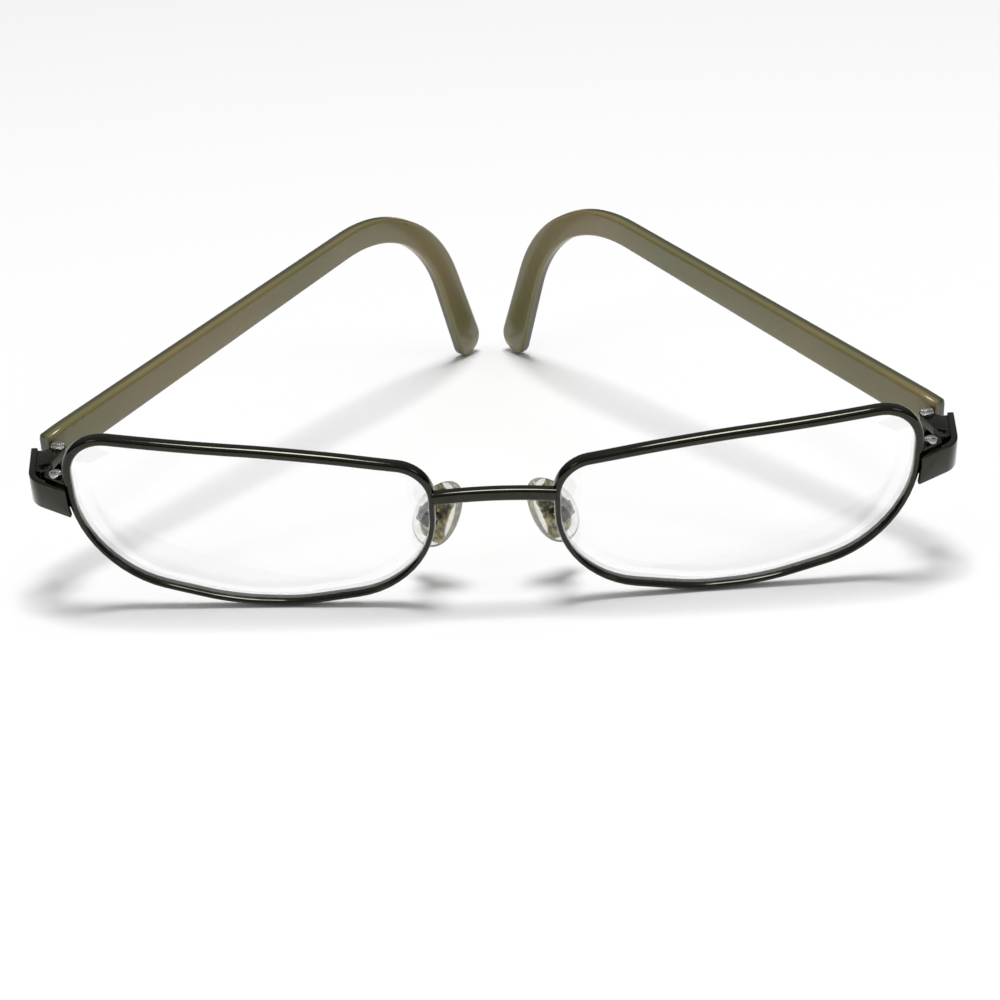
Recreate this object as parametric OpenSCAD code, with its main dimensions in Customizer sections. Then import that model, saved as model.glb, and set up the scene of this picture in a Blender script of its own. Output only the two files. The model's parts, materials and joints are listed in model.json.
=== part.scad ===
/* [Lenses] */
// Width of a lens opening
lens_w = 52.4; // [50:0.2:56]
// Height of a lens opening at its tallest
lens_h = 27.2; // [25:0.2:31]
// Gap between the two lens openings
nose_gap = 19; // [17:0.5:23]
// Thickness at the middle of a lens
lens_t = 1.6; // [1.2:0.1:2.2]
// Radius of the front of a lens and of its rim
front_radius = 260; // [220:10:400]
// Radius of the back of a lens
back_radius = 130; // [110:5:180]

/* [Rims] */
// Width of the rim above the lens, seen from the front
rim_top_w = 1.5; // [1.2:0.1:2]
// Width of the rim at the sides and below
rim_w = 0.95; // [0.8:0.05:1.4]
// Depth of the rim, front to back
rim_depth = 2.0; // [1.6:0.1:2.6]
// Depth of the groove that holds the lens
groove_d = 0.45; // [0.3:0.05:0.5]
// Width of the groove
groove_w = 0.9; // [0.6:0.1:1.1]
// Turn of each lens towards the temple, in degrees
wrap = 5; // [3:0.5:7]
// Lean of the front, top towards the viewer, in degrees
lean = 12.3; // [10:0.1:14]

/* [Bridge] */
// Height of the bridge bar
bridge_h = 2.0; // [1.5:0.1:2.6]
// Depth of the bridge bar
bridge_depth = 1.8; // [1.4:0.1:2]
// Rise of the bar's middle over its ends
bridge_rise = 0.5; // [0.3:0.1:1.2]
// Height of the bar's ends over the middle of the lens
bridge_up = 4.4; // [3.6:0.1:5.4]

/* [Endpieces] */
// Height of the endpiece strip
strip_h = 4.6; // [4:0.1:5.2]
// Thickness of the strip
strip_t = 1.0; // [0.8:0.1:1.3]
// Bend radius of the strip's middle line
strip_bend = 3.5; // [2.5:0.1:4.5]
// Front end of the strip's middle line, behind the middle of the lens
strip_seat = 1.15; // [0.9:0.05:1.5]
// Corner of the strip's middle line, behind the middle of the lens
strip_back = 4.95; // [4:0.05:6]
// Flare of the strip from its corner to the hinge
strip_flare = 0.4; // [0:0.1:0.8]
// Drop of the strip towards the rim, in degrees
strip_drop = 2.5; // [0:0.5:4]
// Depth of one rim lock block round its screw
lock_depth = 2.3; // [2:0.1:2.8]
// Back of the rim lock, behind the middle of the lens
lock_back = 3.9; // [3.6:0.1:4.4]
// Height of one rim lock block
lock_h = 2.0; // [1.6:0.1:2.2]
// Diameter of the rim lock screw
lock_screw_d = 1.2; // [1:0.1:1.4]

/* [Hinges] */
// Hinge axis, outwards from the lens opening's side
hinge_out = 2.9; // [2.6:0.1:3.4]
// Hinge axis, behind the middle of the lens
hinge_back = 12.7; // [11.5:0.1:14]
// Middle of the hinge, above the middle of the lens
hinge_up = 6.4; // [5.5:0.1:7]
// Rise of the open temples towards the ear, in degrees
temple_rise = 10.4; // [9:0.1:12]
// Diameter of a hinge knuckle
knuckle_d = 2.4; // [2.2:0.1:2.6]
// Height of the temple's middle knuckle
knuckle_h = 1.3; // [1:0.1:1.5]
// Diameter of the hinge screw
hinge_screw_d = 1.2; // [1:0.1:1.4]
// Fold of the temples at rest, in degrees from fully open
rest_fold = 35; // [25:1:35]

/* [Temples] */
// Thickness of a temple at the hinge
temple_t = 2.5; // [2.2:0.1:3]
// Thickness of a temple at its tip
temple_tip_t = 2.1; // [1.8:0.1:2.4]
// Straight length from the hinge to the ear bend
straight = 75; // [72:0.5:78]
// Radius of the ear bend
bend_radius = 30.5; // [27:0.5:33]
// Angle of the ear bend, in degrees
bend_angle = 70; // [66:1:74]
// Height of a temple at the hinge
temple_h = 5.8; // [5:0.1:6.4]
// Middle of a temple, above the middle of the hinge
temple_up = 0.4; // [0:0.1:0.6]
// Height of a temple at the ear bend
waist_h = 4.3; // [3.6:0.1:5]
// Height of a temple near its tip
tip_h = 6.2; // [5.2:0.1:7]

/* [Nose pads] */
// Length of a nose pad
pad_l = 12.6; // [11.5:0.1:14]
// Width of a nose pad
pad_w = 7.4; // [6.5:0.1:8.5]
// Thickness of a nose pad
pad_t = 1.8; // [1.6:0.1:2.2]
// Distance between the middles of the pads
pad_gap = 17; // [16:0.5:20]
// Middle of a pad behind the middle of the lens
pad_back = 8.4; // [7.5:0.1:9]
// Middle of a pad below the middle of the lens
pad_down = 2.9; // [2:0.1:4]
// Turn of a pad's face towards the back, in degrees
pad_turn = 44; // [34:1:50]
// Splay of the pads, closer at the top, in degrees
pad_splay = 19; // [14:1:24]
// Rake of the pads, top towards the viewer, in degrees
pad_rake = 8; // [4:1:12]
// Diameter of the wire of a pad arm
wire_d = 1.0; // [0.8:0.1:1.2]
// Diameter of a pad screw
pad_screw_d = 0.8; // [0.7:0.1:0.9]

/* [Hidden] */

// Right and left are the wearer's: the left temple is on the +X side
RIGHT = -1;
LEFT = 1;

// Clearance of fixed fits, and of turning fits
fit_gap = 0.03;
turn_gap = 0.1;
pin_gap = 0.03;
// Parting slot of the rim, between its two lock blocks
slot = 0.16;
// Running gap between a knuckle and the temple's inner face
knuckle_room = 0.25;
// Sides of the large spheres and of the small round pieces, and largest turn of a step round a corner
ball_fn = 300;
round_fn = 48;
arc_step = 7;
// Reach of cutting shapes past what they cut
past = 1;

// Lens outline: corners as [x, z, rounding radius], x towards the temple
nose_drop = 5.1;
lens_corners = [
    [lens_w / 2, lens_h / 2, 5.6],
    [-lens_w * 0.14, lens_h / 2 - 2, 150],
    [-lens_w / 2 + 0.2, lens_h / 2 - nose_drop, 5.2],
    [-lens_w / 2, -lens_h / 2 + 3.3, 13],
    [-lens_w * 0.115, -lens_h / 2, 26],
    [lens_w * 0.066, -lens_h / 2 + 0.2, 34],
    [lens_w / 2 - 0.8, -lens_h / 2 + 5.6, 16]
];
// Rim width outside each edge of the outline, the first edge from the first corner
rim_widths = [rim_top_w, rim_top_w, rim_w, rim_w, rim_w, rim_w, rim_w];

// Height of the rim's parting slot above the middle of the lens
lock_up = 4.4;

// Front of the lens before its bevel, and front of the bridge before the rims
lens_proud = 0.15;
bridge_proud = 0.3;
// Depths in the lens frame, negative towards the viewer
rim_front = -rim_depth / 2;
groove_front = rim_front + (rim_depth - groove_w) / 2;
lens_front = groove_front + fit_gap - lens_proud;
bevel_t = groove_w - 2 * fit_gap;

// Middle of a lens; the lowest point of the rim stands on the table
eye_x = nose_gap / 2 + lens_w / 2;
eye_y = -2;
rim_low_sag = pow(lens_h / 2, 2) / (2 * front_radius);
side_sag = pow(lens_w / 2, 2) / (2 * front_radius);
eye_z = (lens_h / 2 + rim_w) * cos(lean) - (rim_front + rim_low_sag) * sin(lean);

// Hinge axis at rest
hinge_x = eye_x + lens_w / 2 + hinge_out;
hinge_y = eye_y + hinge_back;
hinge_z = eye_z + hinge_up;

// Plan sizes round the hinge axis: u outwards, v towards the ear, w up
knuckle_r = knuckle_d / 2;
temple_in = knuckle_r + knuckle_room;
temple_out = temple_in + temple_t;
strip_out = temple_out;
strip_mid = strip_out - strip_t / 2;
strip_in = strip_out - strip_t;
butt_gap = 0.12;
// Middle line of the strip: in the rim's side, at its corner, and at the temple
strip_rim = [-hinge_out, -hinge_back + strip_seat];
strip_corner = [strip_mid - strip_flare, -hinge_back + strip_back];
strip_end = [strip_mid, -butt_gap];
strip_arm = strip_corner - strip_rim;
strip_side = strip_end - strip_corner;

// Step at the strip's rear end
notch_l = 0.5;
notch_up = 0.6;

// Temple's side line
bend_arc = bend_radius * bend_angle * PI / 180;
tip_r = tip_h / 2;
tip_in = temple_out - temple_tip_t;
// Length of the tail that brings the tip down to the table
tail_drop = hinge_z + (temple_up - bend_radius * (1 - cos(bend_angle))) * cos(temple_rise)
    + ((straight + bend_radius * sin(bend_angle)) * cos(rest_fold) + tip_in * sin(rest_fold))
        * sin(temple_rise)
    - tip_r * norm([cos(temple_rise), cos(rest_fold) * sin(temple_rise)]);
tail = tail_drop / (sin(bend_angle) * cos(temple_rise) - cos(bend_angle) * cos(rest_fold) * sin(temple_rise));
temple_reach = straight + bend_radius * sin(bend_angle) + tail * cos(bend_angle) + tip_r;
temple_drop = bend_radius * (1 - cos(bend_angle)) + tail * sin(bend_angle) - temple_up;

// Middle of a pad, and depths behind it, away from the nose
pad_middle = [pad_gap / 2, eye_y + pad_back, eye_z - pad_down];
pad_behind = pad_t / 2;
insert_t = 0.5;
insert_l = 9;
insert_w = 4.6;
stud_w = 1.4;
stud_l = 1.8;
stud_reach = 1.6;
cheek_t = 0.5;
shoe_l = 2.2;
shoe_gap = 0.35;
shoe_reach = 2.3;
stud_room = 0.3;
pad_screw_back = 0.85;
pad_screw_z = -pad_behind - pad_screw_back;
pad_head_d = pad_screw_d + 0.6;
pad_head_h = 0.4;
cheek_out = stud_w / 2 + turn_gap + cheek_t;

// Front of the bridge, just before the rims' nose sides
nose_rim_front = rim_front + side_sag - lens_w / 2 * sin(wrap);
bridge_front = nose_rim_front - bridge_proud;

// Middle of the whole object from front to back
front_y = eye_y + nose_rim_front * cos(lean) - (lens_h / 2 + rim_top_w - nose_drop) * sin(lean);
back_y = hinge_y + (temple_reach * cos(rest_fold) + temple_out * sin(rest_fold)) * cos(temple_rise)
    + temple_drop * sin(temple_rise);
mid_y = (front_y + back_y) / 2;

// Corners of an outline turned into arcs, anticlockwise
function unit(v) = v / norm(v);
function turn_of(a, b) = acos(max(-1, min(1, a * b)));
function arc_at(p, a, b, r) =
    let (
        u = unit(a - p),
        w = unit(b - p),
        half = turn_of(u, w) / 2,
        c = p + unit(u + w) * r / sin(half),
        from = p + u * r / tan(half) - c,
        sweep = 180 - 2 * half,
        steps = max(2, ceil(sweep / arc_step))
    )
    [for (i = [0 : steps]) c + [
        from.x * cos(sweep * i / steps) - from.y * sin(sweep * i / steps),
        from.x * sin(sweep * i / steps) + from.y * cos(sweep * i / steps)
    ]];
function flat(p) = [p.x, p.y];
function rounded(corners) =
    let (n = len(corners))
    [for (i = [0 : n - 1])
        let (before = corners[(i + n - 1) % n], after = corners[(i + 1) % n])
        each arc_at(flat(corners[i]), flat(before), flat(after), corners[i].z)];

// The same corners with each edge moved outwards
function out_normal(a, b) = let (d = unit(b - a)) [d.y, -d.x];
function grow(corners, widths) =
    let (n = len(corners))
    [for (i = [0 : n - 1])
        let (
            p = flat(corners[i]),
            n1 = out_normal(flat(corners[(i + n - 1) % n]), p),
            n2 = out_normal(p, flat(corners[(i + 1) % n])),
            g1 = widths[(i + n - 1) % n],
            g2 = widths[i],
            det = n1.x * n2.y - n1.y * n2.x
        )
        [p.x + (g1 * n2.y - g2 * n1.y) / det, p.y + (g2 * n1.x - g1 * n2.x) / det,
         corners[i].z + (g1 + g2) / 2]];
function same(width) = [for (c = lens_corners) width];

// Strip of even thickness along a line of points
function side_of(line, i) =
    let (a = line[max(0, i - 1)], b = line[min(len(line) - 1, i + 1)], d = unit(b - a)) [d.y, -d.x];
function ribbon(line, t) = concat(
    [for (i = [0 : len(line) - 1]) line[i] + side_of(line, i) * t / 2],
    [for (i = [len(line) - 1 : -1 : 0]) line[i] - side_of(line, i) * t / 2]
);

// Smooth curve through four control points, and a round wire along a curve
function bezier(p, t) = pow(1 - t, 3) * p[0] + 3 * pow(1 - t, 2) * t * p[1]
    + 3 * (1 - t) * t * t * p[2] + pow(t, 3) * p[3];
function tangent(line, i) = unit(line[min(len(line) - 1, i + 1)] - line[max(0, i - 1)]);
// Direction that no part of a wire follows
aside = [0, 1, 0.3];
function ring(c, d, r, sides) =
    let (a = unit(cross(d, aside)), b = cross(d, a))
    [for (k = [0 : sides - 1]) c + r * (cos(360 * k / sides) * a + sin(360 * k / sides) * b)];
module wire(line, d, sides = 10) {
    n = len(line);
    points = [for (i = [0 : n - 1]) each ring(line[i], tangent(line, i), d / 2, sides)];
    walls = [for (i = [0 : n - 2], k = [0 : sides - 1]) each [
        [i * sides + k, (i + 1) * sides + k, i * sides + (k + 1) % sides],
        [(i + 1) * sides + k, (i + 1) * sides + (k + 1) % sides, i * sides + (k + 1) % sides]
    ]];
    first = [for (k = [0 : sides - 1]) k];
    last = [for (k = [sides - 1 : -1 : 0]) (n - 1) * sides + k];
    polyhedron(points, concat(walls, [first, last]));
}

// Places: one side of the front, the lens, the hinge, the temple and the pad
module on(side) {
    translate([0, -mid_y, 0])
        if (side == RIGHT) mirror([1, 0, 0]) children();
        else children();
}
module at_eye() {
    translate([eye_x, eye_y, eye_z]) rotate([lean, 0, 0]) rotate([0, 0, wrap]) children();
}
module at_hinge() {
    translate([hinge_x, hinge_y, hinge_z]) rotate([temple_rise, 0, 0]) children();
}
module at_strip() {
    at_hinge() rotate([strip_drop, 0, 0]) children();
}
module at_temple() {
    at_hinge() rotate([0, 0, rest_fold]) children();
}
module at_pad() {
    translate(pad_middle)
        rotate([pad_rake, 0, 0]) rotate([0, -pad_splay, 0])
        rotate([0, 0, -pad_turn]) rotate([0, -90, 0]) children();
}

// A plate drawn in x and z, between two depths
module plate(points, front, back) {
    translate([0, back, 0]) rotate([90, 0, 0]) linear_extrude(back - front) polygon(points);
}
// The space between two surfaces of the front's curve
module shell(front, back) {
    translate([0, front_radius, 0]) difference() {
        sphere(front_radius - front, $fn = ball_fn);
        sphere(front_radius - back, $fn = ball_fn);
    }
}
module lens_blank(points) {
    plate(points, -lens_w / 4, lens_w / 4);
}
module rim_outside() {
    lens_blank(rounded(grow(lens_corners, rim_widths)));
}

module rim(side) {
    color("dimgray") on(side) at_eye() difference() {
        intersection() {
            rim_outside();
            shell(rim_front, rim_front + rim_depth);
        }
        lens_blank(rounded(lens_corners));
        intersection() {
            lens_blank(rounded(grow(lens_corners, same(groove_d))));
            shell(groove_front, groove_front + groove_w);
        }
        translate([lens_w / 2 - past, -lens_w / 4, lock_up - slot / 2])
            cube([rim_w + 2 * past, lens_w / 2, slot]);
    }
}

module lens(side) {
    color("aliceblue", 0.5) on(side) at_eye() {
        intersection() {
            lens_blank(rounded(grow(lens_corners, same(-fit_gap))));
            translate([0, front_radius, 0]) sphere(front_radius - lens_front, $fn = ball_fn);
            difference() {
                cube([2 * lens_w, lens_w / 2, 2 * lens_w], center = true);
                translate([0, back_radius + lens_front + lens_t, 0]) sphere(back_radius, $fn = ball_fn);
            }
        }
        intersection() {
            lens_blank(rounded(grow(lens_corners, same(groove_d - fit_gap))));
            shell(groove_front + fit_gap, groove_front + fit_gap + bevel_t);
        }
    }
}

module bridge() {
    half = nose_gap / 2;
    color("dimgray") difference() {
        translate([0, -mid_y + eye_y, eye_z]) rotate([lean, 0, 0]) bridge_bar(half);
        on(RIGHT) at_eye() rim_outside();
        on(LEFT) at_eye() rim_outside();
    }
}
// Bar arched up in the middle, a little proud of the rims it joins
module bridge_bar(half) {
    arch_r = (half * half + bridge_rise * bridge_rise) / (2 * bridge_rise);
    reach = asin((half + past) / arch_r);
    steps = 12;
    arch = [for (i = [0 : steps]) let (a = reach * (1 - 2 * i / steps))
        [arch_r * sin(a), bridge_up + bridge_rise - arch_r * (1 - cos(a))]];
    plate(ribbon(arch, bridge_h), bridge_front, bridge_front + bridge_depth);
}

// Strip bent round the corner, from the rim to the hinge
module strip_bar() {
    bend = arc_at(strip_corner, strip_rim, strip_end, strip_bend);
    beyond = strip_end + unit(strip_side) * strip_t;
    line = concat([strip_rim], bend, [beyond]);
    translate([0, 0, -strip_h / 2]) linear_extrude(strip_h) polygon(ribbon(line, strip_t));
}
// All that lies before the back of the strip's front arm
module strip_front() {
    translate(strip_rim) rotate([0, 0, atan2(strip_arm.y, strip_arm.x)])
        translate([-strip_h, -2 * strip_h, -2 * strip_h])
            cube([4 * strip_h, 2 * strip_h + strip_t / 2, 4 * strip_h]);
}
module endpiece(side) {
    color("dimgray") on(side) difference() {
        at_strip() strip_bar();
        at_hinge() {
            translate([0, -butt_gap, -strip_h]) cube([2 * strip_out, strip_h, 2 * strip_h]);
            // Step at the rear end: the thin outer lip runs past the inner part
            translate([strip_in - past, -butt_gap - notch_l, -strip_h])
                cube([past + strip_t / 2, notch_l + past, strip_h + notch_up]);
        }
        at_eye() rim_outside();
    }
}
// Rim lock: two blocks on the rim's outer side, drawn together by a screw
lock_wide = 3.2;
lock_screw_x = rim_w + lock_wide / 2;
lock_head_d = lock_screw_d + 0.7;
lock_head_h = 0.5;
module at_lock() {
    at_eye() translate([lens_w / 2, 0, lock_up]) children();
}
module lock_block(side, low) {
    color("gray") on(side) difference() {
        at_lock() difference() {
            translate([0, rim_front, low]) cube([rim_w + lock_wide, lock_back - rim_front, lock_h]);
            translate([lock_screw_x, lock_back - lock_depth / 2, low - past])
                cylinder(d = lock_screw_d + 2 * pin_gap, h = lock_h + 2 * past, $fn = round_fn);
        }
        at_eye() rim_outside();
        at_strip() strip_front();
    }
}
module rim_lock_upper(side) {
    lock_block(side, slot / 2);
}
module rim_lock_lower(side) {
    lock_block(side, -slot / 2 - lock_h);
}
module rim_lock_screw(side) {
    top = slot / 2 + lock_h;
    color("silver") on(side) at_lock() translate([lock_screw_x, lock_back - lock_depth / 2, 0]) {
        translate([0, 0, -top]) cylinder(d = lock_screw_d, h = 2 * top, $fn = round_fn);
        screw_head(top, lock_head_d, lock_head_h);
    }
}
// Cheese head with a driver slot, its width a share of the head's and its depth half the head's
driver_share = 0.16;
module screw_head(z, d, h) {
    translate([0, 0, z]) difference() {
        cylinder(d = d, h = h, $fn = round_fn);
        translate([-d, -d * driver_share / 2, h / 2]) cube([2 * d, d * driver_share, h]);
    }
}

// Points of the lens and pad frames in the frame of the whole object
function about_x(p, a) = [p.x, p.y * cos(a) - p.z * sin(a), p.y * sin(a) + p.z * cos(a)];
function about_y(p, a) = [p.x * cos(a) + p.z * sin(a), p.y, p.z * cos(a) - p.x * sin(a)];
function about_z(p, a) = [p.x * cos(a) - p.y * sin(a), p.x * sin(a) + p.y * cos(a), p.z];
function eye_point(p) = [eye_x, eye_y, eye_z] + about_x(about_z(p, wrap), lean);
function pad_point(p) =
    pad_middle + about_x(about_y(about_z(about_y(p, -90), -pad_turn), -pad_splay), pad_rake);

// Pad arm: a bent wire from the back of the rim to a shoe behind the pad
arm_up = 1.5;
arm_x = -lens_w / 2 - rim_w / 2 - turn_gap;
arm_y = rim_front + rim_depth + arm_x * arm_x / (2 * front_radius) + fit_gap;
arm_run = 5;
arm_bow = 2.6;
arm_steps = 16;
arm_curve = [
    eye_point([arm_x, arm_y, arm_up]),
    eye_point([arm_x, arm_y + arm_run, arm_up]),
    pad_point([0, 0, -pad_behind - shoe_reach - arm_bow]),
    pad_point([0, 0, -pad_behind - shoe_reach])
];
module pad_arm(side) {
    color("dimgray") on(side) {
        wire([for (i = [0 : arm_steps]) bezier(arm_curve, i / arm_steps)], wire_d);
        at_pad() pad_shoe();
    }
}
// Shoe: two cheeks that hold the insert's stud between them
module pad_shoe() {
    low = -pad_behind - shoe_reach;
    high = -pad_behind - shoe_gap;
    slot_low = -pad_behind - stud_reach - stud_room;
    difference() {
        translate([-shoe_l / 2, -cheek_out, low]) cube([shoe_l, 2 * cheek_out, high - low]);
        translate([-shoe_l, -stud_w / 2 - turn_gap, slot_low])
            cube([2 * shoe_l, stud_w + 2 * turn_gap, high - slot_low + past]);
        pad_bore();
    }
}
module pad_bore() {
    translate([0, -cheek_out - past, pad_screw_z]) rotate([-90, 0, 0])
        cylinder(d = pad_screw_d + 2 * pin_gap, h = 2 * (cheek_out + past), $fn = round_fn);
}
// Teardrop outline of a pad, wider at the bottom, x along it and up
pad_corners = [
    [pad_l / 2, -pad_w * 0.34, pad_w * 0.3],
    [pad_l / 2, pad_w * 0.34, pad_w * 0.3],
    [-pad_l / 2, pad_w / 2, pad_w * 0.46],
    [-pad_l / 2, -pad_w / 2, pad_w * 0.46]
];
// Slices on each side of the pad's middle, the turn of its rounded edge, and a slice's thickness
pad_slices = 3;
edge_turn = 80;
slice_t = 0.02;
module pad_body() {
    hull() for (i = [-pad_slices : pad_slices]) {
        a = edge_turn * i / pad_slices;
        inset = pad_t / 2 * (1 - cos(a));
        translate([0, 0, pad_t / 2 * sin(a) / sin(edge_turn) - slice_t / 2])
            linear_extrude(slice_t) polygon(rounded(grow(pad_corners, [for (c = pad_corners) -inset])));
    }
}
module nose_pad(side) {
    color("gainsboro", 0.6) on(side) at_pad() difference() {
        pad_body();
        insert_body();
    }
}
// Metal plate sealed in the pad, with a stud behind it
module insert_body() {
    insert_corners = [for (c = [[1, -1], [1, 1], [-1, 1], [-1, -1]])
        [c.x * insert_l / 2, c.y * insert_w / 2, insert_w * 0.4]];
    translate([0, 0, -insert_t / 2]) linear_extrude(insert_t) polygon(rounded(insert_corners));
    translate([-stud_l / 2, -stud_w / 2, -pad_behind - stud_reach])
        cube([stud_l, stud_w, pad_behind + stud_reach]);
}
module pad_insert(side) {
    color("darkkhaki") on(side) at_pad() difference() {
        insert_body();
        pad_bore();
    }
}
module pad_screw(side) {
    color("silver") on(side) at_pad() translate([0, 0, pad_screw_z]) rotate([-90, 0, 0]) {
        translate([0, 0, -cheek_out]) cylinder(d = pad_screw_d, h = 2 * cheek_out, $fn = round_fn);
        screw_head(cheek_out, pad_head_d, pad_head_h);
    }
}

// Hinge: a plate with two leaves on the endpiece, a tang with one leaf on the temple
leaf_h = 1.3;
leaf_top = knuckle_h / 2 + turn_gap + leaf_h;
hinge_plate_t = 0.6;
hinge_plate_l = 5.4;
plate_front = -hinge_plate_l - notch_l;
// Inner face of the strip's side arm, which the plate lies on
function strip_face(v) = strip_end.x + strip_side.x / strip_side.y * (v - strip_end.y)
    - strip_t / 2 * norm(strip_side) / strip_side.y;
plate_line = [
    [strip_face(plate_front), plate_front], [strip_face(-notch_l), -notch_l],
    [strip_face(-notch_l) - hinge_plate_t, -notch_l], [strip_face(plate_front) - hinge_plate_t, plate_front]
];
// Leaf in plan, from the knuckle to the plate
leaf_root = 4.8;
leaf_waist = [0.4, -3.9];
leaf_line = [
    [-knuckle_r, 0], leaf_waist, [strip_face(-leaf_root) - hinge_plate_t / 2, -leaf_root],
    [strip_face(-knuckle_r) - hinge_plate_t / 2, -knuckle_r], [knuckle_r, 0]
];
hinge_head_d = hinge_screw_d + 0.8;
hinge_head_h = 0.5;
module hinge_bore() {
    translate([0, 0, -strip_h]) cylinder(d = hinge_screw_d + 2 * pin_gap, h = 2 * strip_h, $fn = round_fn);
}
module hinge_front(side) {
    color("dimgray") on(side) at_hinge() difference() {
        union() {
            rotate([strip_drop, 0, 0]) translate([0, 0, -leaf_top])
                linear_extrude(2 * leaf_top) polygon(plate_line);
            for (low = [-leaf_top, leaf_top - leaf_h]) translate([0, 0, low]) {
                linear_extrude(leaf_h) polygon(leaf_line);
                cylinder(r = knuckle_r, h = leaf_h, $fn = round_fn);
            }
        }
        hinge_bore();
    }
}
// Tang: sunk into the temple under its inner face, with a web from the knuckle through a slot
tang_cover = 0.3;
tang_in = temple_in + tang_cover;
tang_t = 0.9;
tang_l = 8.2;
tang_w = 3;
tang_from = 1.8;
web_l = 1.4;
web_out = tang_in + tang_t / 2;
web_line = [[-knuckle_r, 0], [web_out, 0], [web_out, tang_from + web_l], [knuckle_r, tang_from]];
module tang(extra = 0) {
    translate([tang_in - extra, tang_from - extra, -tang_w / 2 - extra])
        cube([tang_t + 2 * extra, tang_l + 2 * extra, tang_w + 2 * extra]);
    translate([0, 0, -knuckle_h / 2 - extra]) linear_extrude(knuckle_h + 2 * extra)
        offset(delta = extra) polygon(web_line);
}
module hinge_temple(side) {
    color("dimgray") on(side) at_temple() difference() {
        union() {
            tang();
            translate([0, 0, -knuckle_h / 2]) cylinder(r = knuckle_r, h = knuckle_h, $fn = round_fn);
        }
        hinge_bore();
    }
}
module hinge_screw(side) {
    color("silver") on(side) at_hinge() {
        translate([0, 0, -leaf_top]) cylinder(d = hinge_screw_d, h = 2 * leaf_top, $fn = round_fn);
        screw_head(leaf_top, hinge_head_d, hinge_head_h);
    }
}

// Temple: side outline along its middle line, cut to its taper in plan
bend_middle = straight + bend_arc / 2;
temple_l = straight + bend_arc + tail;
function temple_angle(s) = max(0, min(bend_angle, (s - straight) / bend_radius * 180 / PI));
function temple_point(s) =
    let (a = temple_angle(s), rest = max(0, s - straight - bend_arc))
    [
        min(s, straight) + bend_radius * sin(a) + rest * cos(a),
        temple_up - bend_radius * (1 - cos(a)) - rest * sin(a)
    ];
function mix(a, b, t) = a + (b - a) * t;
function half_height(s) = s < bend_middle
    ? mix(temple_h, waist_h, s / bend_middle) / 2
    : mix(waist_h, tip_h, (s - bend_middle) / (temple_l - bend_middle)) / 2;
function temple_edge(s, up) =
    let (a = temple_angle(s)) temple_point(s) + up * half_height(s) * [sin(a), cos(a)];
bend_steps = 12;
temple_stations = concat(
    [butt_gap],
    [for (i = [0 : bend_steps]) straight + bend_arc * i / bend_steps],
    [temple_l]
);
corner_cut = 0.6;
temple_outline = concat(
    [[butt_gap, temple_up + temple_h / 2 - corner_cut]],
    [for (s = temple_stations) temple_edge(s == butt_gap ? butt_gap + corner_cut : s, 1)],
    [for (i = [1 : bend_steps - 1]) let (a = 90 - bend_angle - 180 * i / bend_steps)
        temple_point(temple_l) + tip_r * [cos(a), sin(a)]],
    [for (i = [len(temple_stations) - 1 : -1 : 0]) temple_edge(temple_stations[i], -1)]
);
module temple(side) {
    far = temple_reach + past;
    color("darkolivegreen") on(side) at_temple() difference() {
        intersection() {
            rotate([90, 0, 90]) linear_extrude(temple_out + past) polygon(temple_outline);
            translate([0, 0, -temple_drop - tip_h]) linear_extrude(temple_drop + tip_h + temple_h)
                polygon([[temple_in, 0], [temple_out, 0], [temple_out, far], [tip_in, far]]);
        }
        tang(fit_gap);
    }
}

rim(RIGHT);  // rim_right
rim(LEFT);  // rim_left
lens(RIGHT);  // lens_right
lens(LEFT);  // lens_left
bridge();
endpiece(RIGHT);  // endpiece_right
endpiece(LEFT);  // endpiece_left
rim_lock_upper(RIGHT);  // rim_lock_upper_right
rim_lock_upper(LEFT);  // rim_lock_upper_left
rim_lock_lower(RIGHT);  // rim_lock_lower_right
rim_lock_lower(LEFT);  // rim_lock_lower_left
rim_lock_screw(RIGHT);  // rim_lock_screw_right
rim_lock_screw(LEFT);  // rim_lock_screw_left
pad_arm(RIGHT);  // pad_arm_right
pad_arm(LEFT);  // pad_arm_left
nose_pad(RIGHT);  // nose_pad_right
nose_pad(LEFT);  // nose_pad_left
pad_insert(RIGHT);  // pad_insert_right
pad_insert(LEFT);  // pad_insert_left
pad_screw(RIGHT);  // pad_screw_right
pad_screw(LEFT);  // pad_screw_left
hinge_front(RIGHT);  // hinge_front_right
hinge_front(LEFT);  // hinge_front_left
hinge_temple(RIGHT);  // hinge_temple_right
hinge_temple(LEFT);  // hinge_temple_left
hinge_screw(RIGHT);  // hinge_screw_right
hinge_screw(LEFT);  // hinge_screw_left
temple(RIGHT);  // temple_right
temple(LEFT);  // temple_left
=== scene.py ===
"""Rectangular eyeglasses: a slim dark metal front with clear lenses, and olive plastic temples."""

import json
import math

import bmesh
import bpy
from bpy.props import FloatProperty, FloatVectorProperty, PointerProperty
from mathutils import Matrix, Vector


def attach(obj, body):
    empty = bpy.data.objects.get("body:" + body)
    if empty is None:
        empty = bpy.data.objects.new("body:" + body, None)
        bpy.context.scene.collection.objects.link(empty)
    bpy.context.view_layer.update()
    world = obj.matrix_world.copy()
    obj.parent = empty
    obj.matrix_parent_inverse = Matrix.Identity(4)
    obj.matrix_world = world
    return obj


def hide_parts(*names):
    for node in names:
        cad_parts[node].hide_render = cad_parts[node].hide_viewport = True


bl_info = {
    "name": "Rectangular Eyeglasses",
    "version": (1, 0, 0),
    "blender": (4, 5, 0),
    "location": "View3D > Sidebar > Eyeglasses",
    "description": "Builds rectangular metal eyeglasses with folding plastic temples",
    "category": "Add Mesh",
}

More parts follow.
